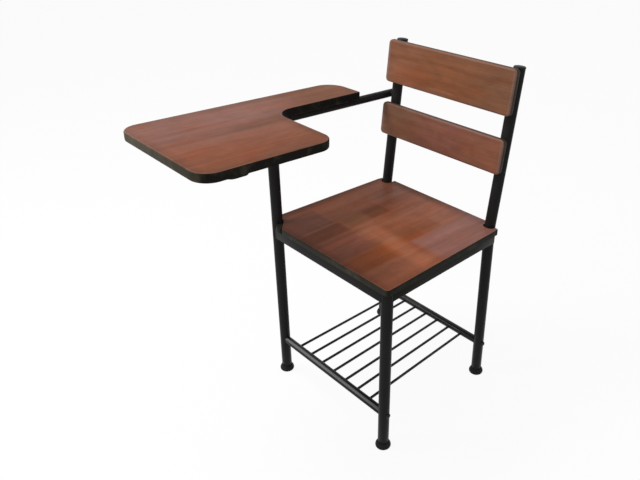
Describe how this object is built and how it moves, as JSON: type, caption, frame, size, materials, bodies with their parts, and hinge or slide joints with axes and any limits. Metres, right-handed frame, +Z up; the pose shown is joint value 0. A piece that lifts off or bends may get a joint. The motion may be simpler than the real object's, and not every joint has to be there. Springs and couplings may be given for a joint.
{
  "type": "student desk chair",
  "caption": "Classroom chair of black steel tube with wooden seat and slatted back, a fixed L-shaped writing tablet on the right side and a rod book rack under the seat.",
  "frame": {"origin": "on the floor, at the centre of the rectangle around the whole chair seen from above", "axes": "+Z up, -Y the way the sitter faces, -X the sitter's right, where the tablet is"},
  "size_m": [0.4748, 0.6982, 0.807],
  "materials": {
    "black_steel": "satin black paint",
    "fastener_steel": "black coated steel",
    "foot_rubber": "matte black rubber",
    "black_plastic": "matte black plastic",
    "red_wood": "reddish brown varnish, edges painted black"
  },
  "bodies": {
    "root": {"front_left_leg": "black_steel", "front_right_leg": "black_steel", "rear_left_leg": "black_steel", "rear_right_leg": "black_steel", "seat_front_rail": "black_steel", "seat_rear_rail": "black_steel", "seat_left_rail": "black_steel", "seat_right_rail": "black_steel", "corner_block": "black_steel", "arm_tube": "black_steel", "tablet_plate": "black_steel", "tablet_bar": "black_steel", "rack_front_rail": "black_steel", "rack_rear_rail": "black_steel", "rack_rod_1": "black_steel", "rack_rod_2": "black_steel", "rack_rod_3": "black_steel", "rack_rod_4": "black_steel", "rack_rod_5": "black_steel", "rack_rod_6": "black_steel", "rack_rod_7": "black_steel", "rack_inserts": "fastener_steel", "rack_bolts": "fastener_steel", "seat_screws": "fastener_steel", "slat_screws": "fastener_steel", "tablet_screws": "fastener_steel", "foot_front_left": "foot_rubber", "foot_front_right": "foot_rubber", "foot_rear_left": "foot_rubber", "foot_rear_right": "foot_rubber", "arm_plug": "black_plastic", "cap_left": "black_plastic", "cap_right": "black_plastic", "seat_panel": "red_wood", "back_slat_upper": "red_wood", "back_slat_lower": "red_wood", "tablet": "red_wood"}
  },
  "joints": []
}
